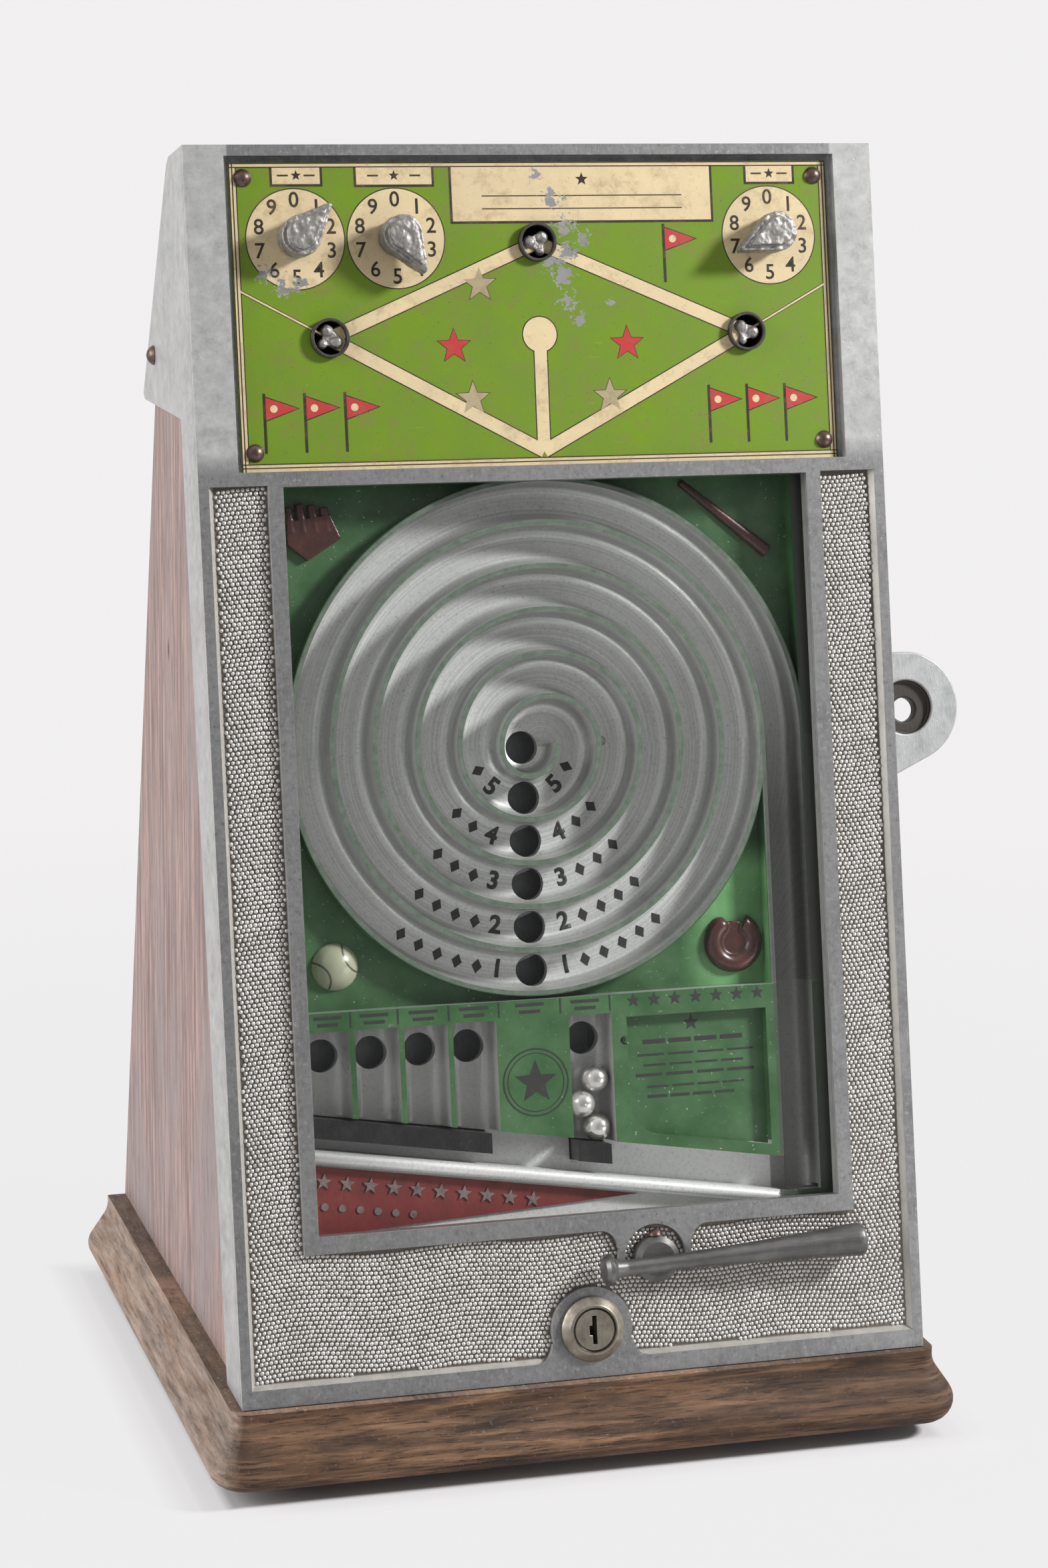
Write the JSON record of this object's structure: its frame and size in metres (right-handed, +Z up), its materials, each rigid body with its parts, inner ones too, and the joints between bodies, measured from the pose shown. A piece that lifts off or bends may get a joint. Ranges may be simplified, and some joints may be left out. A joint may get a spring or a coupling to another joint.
{
  "type": "countertop coin game",
  "caption": "Wedge-shaped countertop coin game: leaning cast front with score dials, glazed spiral playfield, bat lever, lock and side coin slide on a wooden cabinet",
  "frame": {"origin": "on the table under the middle of the base board", "axes": "+X to the player's right, +Y to the back, +Z up"},
  "size_m": [0.2941, 0.2517, 0.4478],
  "materials": {
    "side_wood": "stained, worn",
    "base_wood": "stained, rubbed edges",
    "inner_wood": "plain",
    "casting": "rubbed cast",
    "hood": "plain sheet",
    "score_print": "printed, worn",
    "brown_steel": "browned",
    "steel": "plain",
    "cast_knob": "rough cast",
    "cup": "black inside",
    "window_glass": "clear",
    "playfield_paint": "painted lands, bare gutters",
    "relief_paint": "painted relief",
    "red_paint": "worn",
    "ball_steel": "polished",
    "black_bar": "satin",
    "bat_metal": "rubbed cast",
    "bushing_brass": "plain",
    "lock_nickel": "worn nickel",
    "slide_metal": "rough cast",
    "foot_iron": "dark"
  },
  "bodies": {
    "cabinet": {"base_board": "base_wood", "base_front_moulding": "base_wood", "base_left_moulding": "base_wood", "base_right_moulding": "base_wood", "feet": "foot_iron", "side_left": "side_wood", "side_right": "side_wood", "back_panel": "inner_wood", "back_screws": "brown_steel", "top_rail": "inner_wood", "pivot_screws": "brown_steel", "strike_plate": "steel", "strike_screws": "steel", "cash_box": "steel", "coin_guide": "hood", "coin_guide_screws": "steel", "coin_spring": "steel"},
    "front": {"front_casting": "casting", "rear_hood": "hood", "hood_screws": "steel", "score_panel": "score_print", "panel_screws": "brown_steel", "marker_cups": "cup", "glass": "window_glass", "playfield": "playfield_paint", "playfield_screws": "steel", "reliefs": "relief_paint", "red_field": "red_paint", "balls": "ball_steel", "return_tray": "hood", "tray_screws": "steel", "bat_bushing": "bushing_brass", "bat_spring": "steel", "lock_body": "lock_nickel", "lock_nut": "steel"},
    "coin_slide": {"coin_slide": "slide_metal"},
    "gate": {"gate": "black_bar"},
    "bat": {"bat_lever": "bat_metal", "bat_set_screw": "brown_steel", "bat_shaft": "steel", "kicker": "steel"},
    "pointer_left": {"knob_left": "cast_knob", "nut_left": "steel"},
    "pointer_inner": {"knob_inner": "cast_knob", "nut_inner": "steel"},
    "pointer_right": {"knob_right": "cast_knob", "nut_right": "steel"},
    "marker_third": {"marker_third": "cast_knob"},
    "marker_second": {"marker_second": "cast_knob"},
    "marker_first": {"marker_first": "cast_knob"},
    "lock": {"lock_plug": "lock_nickel", "lock_cam": "steel", "cam_screw": "steel"}
  },
  "joints": [
    {"name": "front_swing", "type": "hinge", "parent": "cabinet", "child": "front", "pos_m": [0, 0.02708, 0.37236], "axis": [-1, 0, 0], "range_deg": [0, 75]},
    {"name": "coin_push", "type": "slide", "parent": "cabinet", "child": "coin_slide", "axis": [-1, 0, 0], "range_m": [0, 0.042], "stiffness_N_per_m": 60, "springref_m": -0.02, "deforming": ["coin_spring"]},
    {"name": "gate_drop", "type": "slide", "parent": "front", "child": "gate", "axis": [0, 0.9794, -0.2019], "range_m": [0, 0.0106]},
    {"name": "bat_press", "type": "hinge", "parent": "front", "child": "bat", "pos_m": [0.025, -0.10617, 0.07069], "axis": [0, 0.9794, -0.2019], "range_deg": [0, 18], "stiffness_Nm_per_rad": 0.5, "springref_deg": -6.88, "deforming": ["bat_spring"]},
    {"name": "pointer_left_turn", "type": "hinge", "parent": "front", "child": "pointer_left", "pos_m": [-0.0846, -0.03479, 0.4169], "axis": [0, -0.9794, 0.2019], "continuous": true},
    {"name": "pointer_inner_turn", "type": "hinge", "parent": "front", "child": "pointer_inner", "pos_m": [-0.0496, -0.03479, 0.4169], "axis": [0, -0.9794, 0.2019], "continuous": true},
    {"name": "pointer_right_turn", "type": "hinge", "parent": "front", "child": "pointer_right", "pos_m": [0.0846, -0.03479, 0.4169], "axis": [0, -0.9794, 0.2019], "continuous": true},
    {"name": "marker_third_turn", "type": "hinge", "parent": "front", "child": "marker_third", "pos_m": [-0.0745, -0.04158, 0.384], "axis": [0, -0.9794, 0.2019], "range_deg": [0, 180]},
    {"name": "marker_second_turn", "type": "hinge", "parent": "front", "child": "marker_second", "pos_m": [0, -0.03515, 0.41514], "axis": [0, -0.9794, 0.2019], "range_deg": [0, 180]},
    {"name": "marker_first_turn", "type": "hinge", "parent": "front", "child": "marker_first", "pos_m": [0.0745, -0.04158, 0.384], "axis": [0, -0.9794, 0.2019], "range_deg": [0, 180]},
    {"name": "lock_turn", "type": "hinge", "parent": "front", "child": "lock", "pos_m": [0.001, -0.11068, 0.04885], "axis": [0, -0.9794, 0.2019], "range_deg": [0, 90]}
  ],
  "couplings": [
    {"joint": "gate_drop", "follows": "coin_push", "ratio": 0.25}
  ]
}
